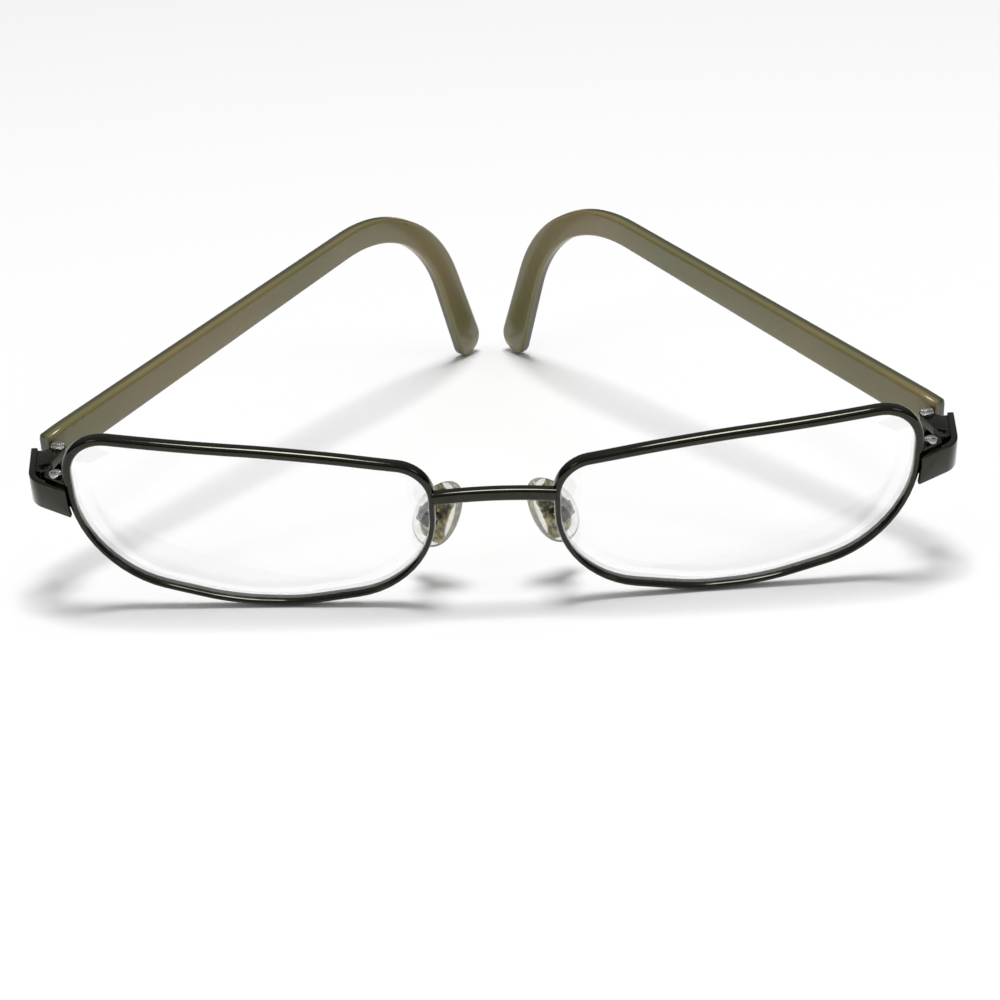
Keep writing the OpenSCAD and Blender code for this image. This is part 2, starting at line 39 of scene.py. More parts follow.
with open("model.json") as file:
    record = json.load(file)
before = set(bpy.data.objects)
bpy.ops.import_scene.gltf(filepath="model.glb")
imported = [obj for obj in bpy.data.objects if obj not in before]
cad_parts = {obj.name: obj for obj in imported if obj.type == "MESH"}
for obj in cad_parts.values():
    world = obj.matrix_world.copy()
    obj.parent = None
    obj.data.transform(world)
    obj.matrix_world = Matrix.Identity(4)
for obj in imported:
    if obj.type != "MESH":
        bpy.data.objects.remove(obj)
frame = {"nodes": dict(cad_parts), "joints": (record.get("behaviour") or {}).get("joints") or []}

# Right and left are the wearer's, so the right side is at negative X
SIDES = {"right": -1, "left": 1}
JOINTS = {joint["name"]: joint for joint in frame["joints"]}

MERGE = 1e-7  # Points closer than this are one, in metres
SHARP = 60  # Edges that turn by more than this are rounded, in degrees

# The same for a copy of a CAD mesh, whose faces that turn by less than CAD_FLAT are one
CAD_MERGE = 2e-7
CAD_SHARP = 42
CAD_FLAT = 0.5

# Corners of the lens outline, from the temple's top round by the nose: share of the half width and
# what is added to it, share of the half height and what is added to it, radius of the corner
LENS_CORNERS = (
    (1, 0, 1, 0, 0.0056),
    (-0.28, 0, 1, -0.002, 0.150),
    (-1, 0.0002, 1, -0.0051, 0.0052),
    (-1, 0, -1, 0.0033, 0.013),
    (-0.23, 0, -1, 0, 0.026),
    (0.132, 0, -1, 0.0002, 0.034),
    (1, -0.0008, -1, 0.0056, 0.016),
)
CORNER_STEPS = 12
LONGEST_SIDE = 0.0016  # Longest straight piece of the outline
LENS_RINGS = 12
LENS_BITE = 0.00012  # How far a lens reaches into its rim
LENS_CHAMFER = 0.0001  # Ground chamfer round each surface of a lens
GROUND_SLOPE = 0.5  # Faces whose normal has less than this along Y are the ground edge
UV_PER_METRE = 10
BROW_RAMP = 0.4  # Share of the lens height over which the rim widens to the brow

BRIDGE_STEPS = 24
BRIDGE_BITE = 0.55  # Share of the rim's width that the ends of the bar cover

PAD_STEPS = 56
PAD_ROUND = 0.46  # Share of a pad's thickness in each rounded edge

# Temple: sections along the straight part, the ear bend and the tail, and round the tip
STRAIGHT_STEPS, BEND_STEPS, TAIL_STEPS, TIP_STEPS = 20, 24, 5, 8
TIP_DIVISIONS = 8.4  # Over TIP_STEPS, so the last section isn't a point
TIP_THINNEST = 0.05  # Least share of the height used for the tip's thickness
TIP_POWER = 0.35  # Below one, so the tip's thickness shrinks later than its height
BUTT_SETBACK = 0.00012  # Front end of the temple behind the hinge axis
BUTT_HALF = 0.0023  # Half height over which the front end's rounding is shared
TAPER_TAIL = 0.34  # Share of the tail over which the thickness still tapers

# Stage
FLOOR_HALF = 3
FLOOR_DROP = 0.0002  # Floor below the table plane, clear of what stands on it
HORIZON, SKY = (0.06, 0.06, 0.06), (0.38, 0.38, 0.38)
SKY_HEIGHT = 0.8  # Sine of the elevation at which the sky has its full colour
# Name, place, diameter and power of each lamp, in metres and watts
LAMPS = (
    ("overhead", (0.03, -0.12, 1.6), 0.56, 17.6),
    ("front_left", (-0.7, -0.6, 0.5), 0.3, 0.5),
    ("front_right", (0.8, -0.4, 0.6), 0.3, 0.5),
)
SENSOR_WIDTH = 36  # Millimetres, like the focal length
CLIP_START = 0.01


def length(name, description, default, low=0.0, high=1.0):
    return FloatProperty(
        name=name, description=description, default=default, min=low, max=high,
        precision=5, subtype="DISTANCE", unit="LENGTH",
    )


def angle(name, description, degrees):
    return FloatProperty(
        name=name, description=description, default=math.radians(degrees), subtype="ANGLE",
    )


def colour(name, description, default):
    return FloatVectorProperty(
        name=name, description=description, default=default, size=3, min=0, max=1, subtype="COLOR",
    )


class FrontSizes(bpy.types.PropertyGroup):
    lens_width: length("Lens width", "Width of a lens opening", 0.0524)
    lens_height: length("Lens height", "Height of a lens opening at its tallest", 0.0272)
    nose_gap: length("Nose gap", "Gap between the two lens openings", 0.019)
    lens_middle: length("Lens middle", "Thickness at the middle of a lens", 0.0016)
    front_radius: length("Front radius", "Radius of the front of a lens and of its rim", 0.26)
    back_radius: length("Back radius", "Radius of the back of a lens", 0.13)
    rim_top: length("Brow width", "Width of the rim above the lens", 0.0015)
    rim_side: length("Rim width", "Width of the rim at the sides and below", 0.00095)
    rim_depth: length("Rim depth", "Depth of the rim, front to back", 0.002)
    rim_round: FloatProperty(
        name="Rim rounding", description="Share of the rim's width and depth in each rounded edge",
        default=41, min=0, max=49, subtype="PERCENTAGE",
    )
    lens_set_back: length("Lens set-back", "Lens behind the front of the rim", 0.00043)
    wrap: angle("Wrap", "Turn of each lens towards its temple", 5)
    lean: angle("Lean", "Lean of the front, top towards the viewer", 12.3)
    hinge_back: length("Hinge set-back", "Middle of the lens forward of the hinge axis", 0.0127)


class BridgeSizes(bpy.types.PropertyGroup):
    height: length("Bar height", "Height of the bridge bar", 0.002)
    depth: length("Bar depth", "Depth of the bridge bar", 0.0018)
    rise: length("Rise", "Rise of the bar's middle over its ends", 0.0005)
    up: length("Height", "Height of the bar's ends over the middle of the lens", 0.0044)
    proud: length("Proud", "How far the bar stands before the rims", 0.0003)
    rounding: length("Rounding", "Radius of the bar's long edges", 0.0006)


class TempleSizes(bpy.types.PropertyGroup):
    thickness: length("Thickness", "Thickness at the hinge", 0.0025)
    tip_thickness: length("Tip thickness", "Thickness at the tip", 0.0021)
    inset: length("Inner face", "Inner face, outwards from the hinge axis", 0.00145)
    up: length("Lift", "Middle of the temple over the middle of the hinge", 0.0004)
    front_height: length("Front height", "Height at the hinge", 0.0058)
    waist_height: length("Waist height", "Height at the ear bend", 0.0043)
    tip_height: length("Tip height", "Height near the tip", 0.0062)
    straight: length("Straight", "Straight length from the hinge to the ear bend", 0.075)
    bend_radius: length("Bend radius", "Radius of the ear bend", 0.0305)
    tail: length("Tail", "Straight length behind the ear bend", 0.015846)
    bend: angle("Bend", "Angle of the ear bend", 70)
    rise: angle("Rise", "Rise of the open temple towards the ear", 10.4)
    fold: angle("Fold", "Fold at rest, from fully open", 35)
    rounding: length("Rounding", "Radius of the long edges", 0.0007)


class PadSizes(bpy.types.PropertyGroup):
    length: length("Length", "Length of a nose pad", 0.0126)
    width: length("Width", "Width of a nose pad", 0.0074)
    thickness: length("Thickness", "Thickness of a nose pad", 0.0018)
    gap: length("Gap", "Distance between the middles of the pads", 0.017)
    back: length("Set-back", "Middle of a pad behind the middle of the lens", 0.0084)
    down: length("Drop", "Middle of a pad below the middle of the lens", 0.0029)
    narrowing: FloatProperty(
        name="Narrowing", description="Share of its width that a pad loses at the top", default=0.3,
    )
    cant: angle("Cant", "Turn of the oval in its own plane, top forwards", 15)
    turn: angle("Turn", "Turn of a pad's face towards the back", 44)
    splay: angle("Splay", "Splay of the pads, closer at the top", 19)
    rake: angle("Rake", "Rake of the pads, top towards the viewer", 8)


class Finishes(bpy.types.PropertyGroup):
    gunmetal: colour("Gunmetal", "Dark plated metal of the front", (0.0185, 0.0175, 0.0105))
    steel: colour("Steel", "Bright metal of the screws", (0.52, 0.51, 0.48))
    gold: colour("Pad gold", "Plate inside the nose pads", (0.46, 0.41, 0.24))
    tan: colour("Tan", "Inner layer of the temples' plastic", (0.192, 0.150, 0.054))
    sage: colour("Sage", "Greener zones of the inner layer", (0.142, 0.130, 0.044))
    bottle: colour("Bottle green", "Darker outer layer of the plastic", (0.055, 0.056, 0.027))
    silicone: colour("Silicone", "Clear rubber of the nose pads", (0.93, 0.93, 0.90))
    lens: colour("Lens", "Clear plastic of the lenses", (0.985, 0.992, 0.988))


class StageSettings(bpy.types.PropertyGroup):
    distance: length("Distance", "Camera to the point it looks at", 0.4425, high=5.0)
    target_x: length("Target X", "Point looked at, sideways", 0.00067, low=-1.0)
    target_y: length("Target Y", "Point looked at, front to back", -0.02158, low=-1.0)
    target_z: length("Target Z", "Point looked at, above the table", 0.00308, low=-1.0)
    yaw: angle("Yaw", "Turn of the camera round the object", 0.22)
    elevation: angle("Elevation", "Height of the camera over the table", 23)
    roll: angle("Roll", "Tilt of the picture", -2.32)
    focal: FloatProperty(name="Focal length", description="Lens of the camera, mm", default=100.65)
    floor: colour("Floor", "Colour of the floor", (0.985, 0.985, 0.985))


GROUPS = {
    "glasses_front": FrontSizes,
    "glasses_bridge": BridgeSizes,
    "glasses_temple": TempleSizes,
    "glasses_pad": PadSizes,
    "glasses_finish": Finishes,
    "glasses_stage": StageSettings,
}


# Places


def eye_place(front):
    """From the lens frame (x to the temple, y back, z up) to the left half of the front."""
    half = front.lens_height / 2
    foot = half ** 2 / (2 * front.front_radius) - front.rim_depth / 2
    height = (half + front.rim_side) * math.cos(front.lean) - foot * math.sin(front.lean)
    sideways = (front.nose_gap + front.lens_width) / 2
    back = JOINTS["temple_left_fold"]["pos_m"][1] - front.hinge_back
    return (
        Matrix.Translation((sideways, back, height))
        @ Matrix.Rotation(front.lean, 4, "X")
        @ Matrix.Rotation(front.wrap, 4, "Z")
    )


def hinge_place(temple):
    """From the hinge frame (x outwards, y to the ear, z up) to the left hinge at rest."""
    return (
        Matrix.Translation(JOINTS["temple_left_fold"]["pos_m"])
        @ Matrix.Rotation(temple.rise, 4, "X")
        @ Matrix.Rotation(temple.fold, 4, "Z")
    )


def pad_place(pad, eye):
    """From the pad frame (x up, y back, z to the nose) to the left pad."""
    middle = Vector((pad.gap / 2, eye.translation.y + pad.back, eye.translation.z - pad.down))
    return (
        Matrix.Translation(middle)
        @ Matrix.Rotation(pad.rake, 4, "X")
        @ Matrix.Rotation(-pad.splay, 4, "Y")
        @ Matrix.Rotation(-pad.turn, 4, "Z")
        @ Matrix.Rotation(-math.pi / 2, 4, "Y")
    )


# Mesh helpers


def finish_piece(bm, name, material, body, nodes, mirror=False, sharp=35, place=None):
    """Turns a bmesh drawn for the left side into a piece that rides on its body."""
    if place is not None:
        bmesh.ops.transform(bm, matrix=place, verts=bm.verts)
    if mirror:
        bmesh.ops.scale(bm, vec=(-1, 1, 1), verts=bm.verts)
    bmesh.ops.remove_doubles(bm, verts=bm.verts, dist=MERGE)
    bmesh.ops.recalc_face_normals(bm, faces=bm.faces)
    mesh = bpy.data.meshes.new(name)
    bm.to_mesh(mesh)
    bm.free()
    mesh.shade_smooth()
    mesh.set_sharp_from_angle(angle=math.radians(sharp))
    mesh.materials.append(material)
    piece = bpy.data.objects.new(name, mesh)
    bpy.context.collection.objects.link(piece)
    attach(piece, body)
    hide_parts(*nodes)


def new_verts(made):
    """The points that an extrusion or a copy has made."""
    return [part for part in made["geom"] if isinstance(part, bmesh.types.BMVert)]


def bevel_edges(bm, edges, offset, segments, offset_type="OFFSET"):
    bmesh.ops.bevel(
        bm, geom=edges, offset=offset, offset_type=offset_type, segments=segments, profile=0.5,
        affect="EDGES", material=-1, clamp_overlap=True,
    )


def sharp_edges(bm, degrees):
    limit = math.radians(degrees)
    return [edge for edge in bm.edges if edge.is_manifold and edge.calc_face_angle(0) > limit]


def round_corner(bm, corner, radius, segments):
    """Bevels one corner of a flat outline to an arc of the given radius."""
    sides = [edge.other_vert(corner).co - corner.co for edge in corner.link_edges]
    half = sides[0].angle(sides[1]) / 2
    bmesh.ops.bevel(
        bm, geom=[corner], offset=radius / math.tan(half), offset_type="OFFSET",
        segments=segments, profile=0.5, affect="VERTICES", material=-1,
    )


def lens_outline(bm, front, grow=0.0):
    """A flat face at y = 0 with the outline of the lens opening, grown by the given length."""
    half_width, half_height = front.lens_width / 2 + grow, front.lens_height / 2 + grow
    verts = [
        bm.verts.new((wide * half_width + right, 0, tall * half_height + up))
        for wide, right, tall, up, _ in LENS_CORNERS
    ]
    bm.faces.new(verts)
    for vert, (*_, radius) in zip(verts, LENS_CORNERS):
        round_corner(bm, vert, radius, CORNER_STEPS)
    for edge in list(bm.edges):
        cuts = int(edge.calc_length() / LONGEST_SIDE)
        if cuts:
            bmesh.ops.subdivide_edges(bm, edges=[edge], cuts=cuts)


def loop_normals(bm):
    """Outward normals, in the plane y = 0, at the points of the outline's only loop."""
    bm.normal_update()
    normals = {}
    for vert in bm.verts:
        ends = [edge.other_vert(vert).co for edge in vert.link_edges]
        along = (ends[1] - ends[0]).normalized()
        out = Vector((along.z, 0, -along.x))
        normals[vert.index] = out if out.dot(vert.co) > 0 else -out
    return normals


def sag(point, radius):
    """How far a surface of this radius has curved back at a point."""
    return (point.x ** 2 + point.z ** 2) / (2 * radius)


def smooth_step(t):
    t = min(1, max(0, t))
    return t * t * (3 - 2 * t)


def sweep(bm, face, places):
    """Carries a face drawn at the origin through a list of places and leaves a closed solid."""
    bmesh.ops.transform(bm, matrix=places[0], verts=face.verts)
    for before, after in zip(places, places[1:]):
        made = bmesh.ops.extrude_face_region(bm, geom=[face], use_keep_orig=before is places[0])
        if before is not places[0] and face.is_valid:
            bm.faces.remove(face)
        face = next(part for part in made["geom"] if isinstance(part, bmesh.types.BMFace))
        bmesh.ops.transform(bm, matrix=after @ before.inverted(), verts=new_verts(made))


def round_bar(bm, width, height, radius, segments=4):
    """A rounded rectangle in the XZ plane, ready to be swept along Y."""
    verts = [
        bm.verts.new((x * width / 2, 0, z * height / 2))
        for x, z in ((1, -1), (1, 1), (-1, 1), (-1, -1))
    ]
    bm.faces.new(verts)
    for vert in verts:
        round_corner(bm, vert, radius, segments)
    return next(iter(bm.faces))


# Materials


def new_material(name, **sockets):
    """A Principled material whose flat values are set on the shader's own sockets."""
    material = bpy.data.materials.new(name)
    material.use_nodes = True
    shader = material.node_tree.nodes["Principled BSDF"]
    for socket, value in sockets.items():
        shader.inputs[socket.replace("_", " ")].default_value = value
    return material, material.node_tree, shader


def tinted(tint, strength):
    """A colour made lighter or darker."""
    return [channel * strength for channel in tint]


def noise(tree, scale, detail):
    """Noise on Object coordinates, in repeats per metre."""
    where = tree.nodes.new("ShaderNodeTexCoord")
    texture = tree.nodes.new("ShaderNodeTexNoise")
    texture.inputs["Scale"].default_value = scale
    texture.inputs["Detail"].default_value = detail
    tree.links.new(where.outputs["Object"], texture.inputs["Vector"])
    return texture.outputs["Fac"]


def between(tree, factor, low, high, from_low=0.3, from_high=0.7):
    """Spreads a factor between two numbers, with a soft start and end."""
    node = tree.nodes.new("ShaderNodeMapRange")
    node.interpolation_type = "SMOOTHSTEP"
    for socket, value in (
        ("From Min", from_low), ("From Max", from_high), ("To Min", low), ("To Max", high),
    ):
        node.inputs[socket].default_value = value
    tree.links.new(factor, node.inputs["Value"])
    return node.outputs["Result"]


def mixed(tree, factor, first, second):
    """Mixes two colours, or another node's colour and a second one, by a factor."""
    node = tree.nodes.new("ShaderNodeMix")
    node.data_type = "RGBA"
    tree.links.new(factor, node.inputs["Factor"])
    if isinstance(first, bpy.types.NodeSocket):
        tree.links.new(first, node.inputs["A"])
    else:
        node.inputs["A"].default_value = (*first, 1)
    node.inputs["B"].default_value = (*second, 1)
    return node.outputs["Result"]


def across(tree, name):
    """The second coordinate of a piece's UV map."""
    where = tree.nodes.new("ShaderNodeUVMap")
    where.uv_map = name
    parts = tree.nodes.new("ShaderNodeSeparateXYZ")
    tree.links.new(where.outputs["UV"], parts.inputs["Vector"])
    return parts.outputs["Y"]


def gunmetal():
    tint = bpy.context.scene.glasses_finish.gunmetal
    material, tree, shader = new_material(
        "gunmetal", Metallic=1.0, Coat_Weight=0.45, Coat_Roughness=0.04,
    )
    wear = between(tree, noise(tree, scale=700, detail=4), low=0, high=1)
    polish = between(tree, noise(tree, scale=300, detail=2), low=0.1, high=0.16)
    tree.links.new(mixed(tree, wear, tint, tinted(tint, 1.3)), shader.inputs["Base Color"])
    tree.links.new(polish, shader.inputs["Roughness"])
    return material


def screw_steel():
    tint = bpy.context.scene.glasses_finish.steel
    material, tree, shader = new_material("screw_steel", Metallic=1.0)
    turning = noise(tree, scale=5200, detail=2)
    polish = between(tree, turning, low=0.18, high=0.34)
    tree.links.new(mixed(tree, turning, tinted(tint, 0.8), tint), shader.inputs["Base Color"])
    tree.links.new(polish, shader.inputs["Roughness"])
    return material


def pad_gold():
    tint = bpy.context.scene.glasses_finish.gold
    material, tree, shader = new_material("pad_gold", Metallic=1.0)
    stain = noise(tree, scale=1400, detail=4)
    veins = between(tree, stain, low=0, high=1, from_low=0.42, from_high=0.62)
    mottled = mixed(tree, veins, tinted(tint, 0.4), tinted(tint, 1.35))
    polish = between(tree, stain, low=0.3, high=0.45)
    tree.links.new(mottled, shader.inputs["Base Color"])
    tree.links.new(polish, shader.inputs["Roughness"])
    return material


def olive_plastic():
    """Two bonded layers, told apart by the second coordinate of the piece's UV map."""
    finish = bpy.context.scene.glasses_finish
    material, tree, shader = new_material(
        "olive_plastic", IOR=1.49, Coat_Weight=0.3, Coat_Roughness=0.1,
    )
    cloud = between(tree, noise(tree, scale=42, detail=1), low=0, high=1)
    inner = mixed(tree, cloud, finish.sage, finish.tan)
    outer = between(tree, across(tree, "layers"), low=0, high=1, from_low=0.34, from_high=0.62)
    polish = between(tree, noise(tree, scale=30, detail=1), low=0.25, high=0.33)
    tree.links.new(mixed(tree, outer, inner, finish.bottle), shader.inputs["Base Color"])
    tree.links.new(polish, shader.inputs["Roughness"])
    return material


def clear_silicone():
    tint = bpy.context.scene.glasses_finish.silicone
    material, tree, shader = new_material(
        "clear_silicone", IOR=1.41, Transmission_Weight=0.95, Alpha=0.85,
    )
    haze = noise(tree, scale=700, detail=3)
    polish = between(tree, haze, low=0.06, high=0.16)
    tree.links.new(mixed(tree, haze, tinted(tint, 0.93), tint), shader.inputs["Base Color"])
    tree.links.new(polish, shader.inputs["Roughness"])
    return material


def clear_lens():
    """Clear on both surfaces, and a pale frosted edge where the piece's UV map says so."""
    tint = bpy.context.scene.glasses_finish.lens
    material, tree, shader = new_material("clear_lens", IOR=1.5, Transmission_Weight=1.0)
    smear = noise(tree, scale=90, detail=4)
    edge = across(tree, "edge")
    frost = between(tree, edge, low=0.006, high=0.5, from_low=0, from_high=1)
    body = between(tree, edge, low=0.13, high=0.3, from_low=0, from_high=1)
    tree.links.new(mixed(tree, smear, tint, tinted(tint, 0.99)), shader.inputs["Base Color"])
    tree.links.new(frost, shader.inputs["Roughness"])
    tree.links.new(body, shader.inputs["Alpha"])
    return material


MAKERS = {
    "gunmetal": gunmetal,
    "steel": screw_steel,
    "insert": pad_gold,
    "temple": olive_plastic,
    "pad": clear_silicone,
    "lens": clear_lens,
}


def finish_of(slot):
    """The material of a slot, made when it is first needed."""
    made = bpy.data.materials.get("finish_" + slot)
    if made is None:
        made = MAKERS[slot]()
        made.name = "finish_" + slot
    return made


# Pieces


class GLASSES_OT_rims(bpy.types.Operator):
    """Make both rims: rounded wire rings that follow the curve of the lenses"""

    bl_idname = "glasses.rims"
    bl_label = "Rims"

    def execute(self, context):
        front = context.scene.glasses_front
        for side, sign in SIDES.items():
            bm = bmesh.new()
            lens_outline(bm, front)
            self.ring(bm, front)
            for vert in bm.verts:
                vert.co.y += sag(vert.co, front.front_radius)
            finish_piece(bm, "rim_wire_" + side, finish_of("gunmetal"), "front",
                         ["rim_" + side], mirror=sign < 0, place=eye_place(front))
        return {"FINISHED"}

    def ring(self, bm, front):
        """Widens the outline into a ring, wider at the brow, and rounds its four long edges."""
        bm.verts.index_update()
        normals = loop_normals(bm)
        inner = {vert: vert.index for vert in bm.verts}
        outline = list(bm.edges)
        bmesh.ops.delete(bm, geom=list(bm.faces), context="FACES_ONLY")
        for vert in new_verts(bmesh.ops.extrude_edge_only(bm, edges=outline)):
            start = next(e.other_vert(vert) for e in vert.link_edges if e.other_vert(vert) in inner)
            up = smooth_step(vert.co.z / (front.lens_height * BROW_RAMP))
            width = front.rim_side + (front.rim_top - front.rim_side) * up
            vert.co += normals[inner[start]] * width
        bmesh.ops.translate(bm, vec=(0, -front.rim_depth / 2, 0), verts=bm.verts)
        made = bmesh.ops.extrude_face_region(bm, geom=list(bm.faces), use_keep_orig=True)
        bmesh.ops.translate(bm, vec=(0, front.rim_depth, 0), verts=new_verts(made))
        bmesh.ops.recalc_face_normals(bm, faces=bm.faces)
        bevel_edges(bm, sharp_edges(bm, SHARP), front.rim_round, segments=5, offset_type="PERCENT")


class GLASSES_OT_lenses(bpy.types.Operator):
    """Make both lenses: clear, thin in the middle and thicker at the edge"""

    bl_idname = "glasses.lenses"
    bl_label = "Lenses"

    def execute(self, context):
        front = context.scene.glasses_front
        for side, sign in SIDES.items():
            bm = bmesh.new()
            lens_outline(bm, front, grow=LENS_BITE)
            self.discs(bm, front)
            finish_piece(bm, "clear_lens_" + side, finish_of("lens"), "front",
                         ["lens_" + side], mirror=sign < 0, place=eye_place(front))
        return {"FINISHED"}

    def discs(self, bm, front):
        """Rings drawn in to the middle, copied, curved to each surface and joined at the edge."""
        bmesh.ops.delete(bm, geom=list(bm.faces), context="FACES_ONLY")
        ring = list(bm.edges)
        for step in range(LENS_RINGS, 0, -1):
            made = bmesh.ops.extrude_edge_only(bm, edges=ring)
            ring = [part for part in made["geom"] if isinstance(part, bmesh.types.BMEdge)]
            shrink = (step - 1) / step
            bmesh.ops.scale(bm, vec=(shrink, 1, shrink), verts=new_verts(made))
        bmesh.ops.remove_doubles(bm, verts=bm.verts, dist=MERGE)
        front_verts = list(bm.verts)
        made = bmesh.ops.duplicate(bm, geom=front_verts + list(bm.edges) + list(bm.faces))
        start = front.lens_set_back - front.rim_depth / 2
        for vert in front_verts:
            vert.co.y = start + sag(vert.co, front.front_radius)
        for vert in new_verts(made):
            vert.co.y = start + front.lens_middle + sag(vert.co, front.back_radius)
        bmesh.ops.bridge_loops(bm, edges=[edge for edge in bm.edges if edge.is_boundary])
        bmesh.ops.recalc_face_normals(bm, faces=bm.faces)
        bevel_edges(bm, sharp_edges(bm, SHARP), LENS_CHAMFER, segments=2)
        self.mark_edge(bm)

    def mark_edge(self, bm):
        """A UV map whose second coordinate is one on the ground edge and zero on the surfaces."""
        bm.normal_update()
        marks = bm.loops.layers.uv.new("edge")
        for face in bm.faces:
            ground = float(abs(face.normal.y) < GROUND_SLOPE)
            for loop in face.loops:
                loop[marks].uv = (loop.vert.co.x * UV_PER_METRE + 0.5, ground)


class GLASSES_OT_bridge(bpy.types.Operator):
    """Make the bridge: a rounded bar arched between the rims"""

    bl_idname = "glasses.bridge"
    bl_label = "Bridge"

    def execute(self, context):
        scene = context.scene
        front, bridge = scene.glasses_front, scene.glasses_bridge
        eye = eye_place(front).translation
        half = front.nose_gap / 2
        radius = (half ** 2 + bridge.rise ** 2) / (2 * bridge.rise)
        reach = math.asin((half - front.rim_side * BRIDGE_BITE) / radius)
        half_lens = front.lens_width / 2
        nose_side = half_lens ** 2 / (2 * front.front_radius) - half_lens * math.sin(front.wrap)
        middle = nose_side - front.rim_depth / 2 - bridge.proud + bridge.depth / 2
        places = []
        for step in range(BRIDGE_STEPS + 1):
            turn = reach * (1 - 2 * step / BRIDGE_STEPS)
            places.append(
                Matrix.Translation((0, middle, bridge.up + bridge.rise - radius))
                @ Matrix.Rotation(turn, 4, "Y")
                @ Matrix.Translation((0, 0, radius))
                @ Matrix.Rotation(math.pi / 2, 4, "Z")
            )
        bm = bmesh.new()
        section = round_bar(bm, bridge.depth, bridge.height, bridge.rounding)
        sweep(bm, section, places)
        place = Matrix.Translation((0, eye.y, eye.z)) @ Matrix.Rotation(front.lean, 4, "X")
        finish_piece(bm, "bridge_bar", finish_of("gunmetal"), "front", ["bridge"],
                     place=place, sharp=50)
        return {"FINISHED"}


class GLASSES_OT_metalwork(bpy.types.Operator):
    """Give the endpieces, rim locks, pad arms, hinges and screws rounded edges and their metal"""

    bl_idname = "glasses.metalwork"
    bl_label = "Metalwork"

    # Node, body it moves with, finish, and radius of its rounded edges
    pieces = (
        ("endpiece", "front", "gunmetal", 0.00026),
        ("rim_lock_upper", "front", "gunmetal", 0.00012),
        ("rim_lock_lower", "front", "gunmetal", 0.00012),
        ("rim_lock_screw", "front", "steel", 0.00008),
        ("pad_arm", "front", "gunmetal", 0.00008),
        ("pad_screw", "front", "steel", 0.00006),
        ("pad_insert", "pad", "insert", 0.00008),
        ("hinge_front", "front", "gunmetal", 0.00012),
        ("hinge_temple", "temple", "gunmetal", 0.00012),
        ("hinge_screw", "front", "steel", 0.00009),
    )

    def execute(self, context):
        for node, body, slot, rounding in self.pieces:
            for side in SIDES:
                name = node + "_" + side
                rides = body if body == "front" else body + "_" + side
                self.polish(name, rides, slot, rounding)
        return {"FINISHED"}

    def polish(self, name, body, slot, rounding):
        """A copy of the node, merged, with its flat faces whole and its edges rounded."""
        bm = bmesh.new()
        bm.from_mesh(frame["nodes"][name].data)
        bmesh.ops.remove_doubles(bm, verts=bm.verts, dist=CAD_MERGE)
        bmesh.ops.dissolve_limit(
            bm, angle_limit=math.radians(CAD_FLAT), verts=bm.verts, edges=bm.edges,
        )
        bevel_edges(bm, sharp_edges(bm, CAD_SHARP), rounding, segments=3)
        finish_piece(bm, name + "_metal", finish_of(slot), body, [name])


class GLASSES_OT_pads(bpy.types.Operator):
    """Make both nose pads: soft clear ovals with rounded edges"""

    bl_idname = "glasses.pads"
    bl_label = "Nose pads"

    def execute(self, context):
        scene = context.scene
        pad = scene.glasses_pad
        place = pad_place(pad, eye_place(scene.glasses_front))
        for side, sign in SIDES.items():
            bm = bmesh.new()
            self.oval(bm, pad)
            finish_piece(bm, "soft_pad_" + side, finish_of("pad"), "pad_" + side,
                         ["nose_pad_" + side], mirror=sign < 0, place=place, sharp=60)
        return {"FINISHED"}

    def oval(self, bm, pad):
        """A flat oval, narrower at the top, thickened and with full round edges."""
        bmesh.ops.create_circle(bm, cap_ends=True, radius=1, segments=PAD_STEPS)
        size = Matrix.Diagonal((pad.length / 2, pad.width / 2, 1, 1))
        bmesh.ops.transform(bm, matrix=size, verts=bm.verts)
        for vert in bm.verts:
            vert.co.y *= 1 - pad.narrowing * vert.co.x / pad.length
        bmesh.ops.rotate(bm, matrix=Matrix.Rotation(-pad.cant, 3, "Z"), verts=bm.verts)
        made = bmesh.ops.extrude_face_region(bm, geom=list(bm.faces), use_keep_orig=True)
        bmesh.ops.translate(bm, vec=(0, 0, pad.thickness), verts=new_verts(made))
        bmesh.ops.translate(bm, vec=(0, 0, -pad.thickness / 2), verts=bm.verts)
        bmesh.ops.recalc_face_normals(bm, faces=bm.faces)
        bevel_edges(bm, sharp_edges(bm, SHARP), pad.thickness * PAD_ROUND, segments=6)


